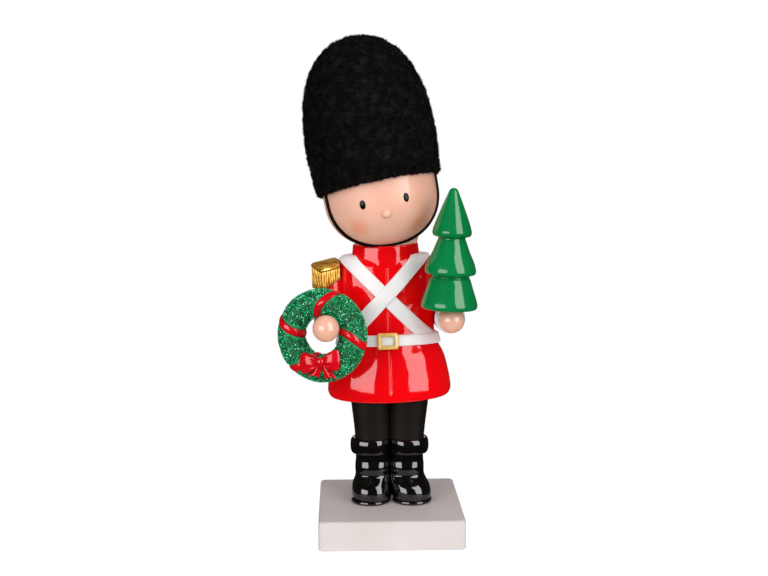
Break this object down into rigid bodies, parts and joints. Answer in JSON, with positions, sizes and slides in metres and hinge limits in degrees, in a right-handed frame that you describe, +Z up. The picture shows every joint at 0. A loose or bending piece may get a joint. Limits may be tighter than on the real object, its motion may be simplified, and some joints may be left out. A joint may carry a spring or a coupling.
{
  "type": "toy soldier figure",
  "caption": "Decorative guardsman figurine on a square plinth, with a tall fur-look hat, a wreath hung on one wrist and a small tiered fir tree in the other hand.",
  "frame": {"origin": "middle of the plinth's underside, on the plane that the figure stands on", "axes": "+Z up, the figure faces -Y, its own left hand (the fir tree) is on +X and its right hand (the wreath) on -X"},
  "size_m": [0.1071, 0.0915, 0.2764],
  "materials": {
    "plinth_paint": "satin warm grey paint",
    "trouser_paint": "satin black paint",
    "boot_paint": "gloss black lacquer",
    "tunic_paint": "gloss red lacquer",
    "belt_paint": "satin white paint",
    "gold_paint": "antique gold paint",
    "skin_paint": "gloss skin tone with soft orange cheeks",
    "flock": "black flock",
    "fir_paint": "gloss green lacquer",
    "wreath_grain": "green glitter grain",
    "ribbon_paint": "gloss red lacquer",
    "steel": "plain wire and rod"
  },
  "bodies": {
    "root": {"base_plinth": "plinth_paint", "leg_pin_right": "steel", "leg_pin_left": "steel", "boot_sole_right": "boot_paint", "boot_sole_left": "boot_paint", "boot_right": "boot_paint", "boot_left": "boot_paint", "boot_roll_right": "boot_paint", "boot_roll_left": "boot_paint", "trouser_leg_right": "trouser_paint", "trouser_leg_left": "trouser_paint", "tunic": "tunic_paint", "waist_belt": "belt_paint", "belt_buckle": "gold_paint", "cross_belt_under": "belt_paint", "cross_belt_over": "belt_paint", "collar": "tunic_paint", "neck": "skin_paint", "neck_peg": "steel", "head": "skin_paint", "nose": "skin_paint", "eye_right": "boot_paint", "eye_left": "boot_paint", "chin_strap": "boot_paint", "bearskin_hat": "flock", "arm_peg_right": "steel", "arm_peg_left": "steel", "sleeve_right": "tunic_paint", "sleeve_left": "tunic_paint", "sleeve_cuff_right": "belt_paint", "sleeve_cuff_left": "belt_paint", "hand_right": "skin_paint", "hand_left": "skin_paint", "epaulette_pad_right": "gold_paint", "epaulette_pad_left": "gold_paint", "epaulette_fringe_right": "gold_paint", "epaulette_fringe_left": "gold_paint", "fir_tree": "fir_paint", "tree_pin": "steel", "wreath_ring": "wreath_grain", "wreath_ribbon_top": "ribbon_paint", "wreath_ribbon_inner": "ribbon_paint", "wreath_ribbon_outer": "ribbon_paint", "wreath_ribbon_low": "ribbon_paint", "wreath_bow": "ribbon_paint"}
  },
  "joints": []
}
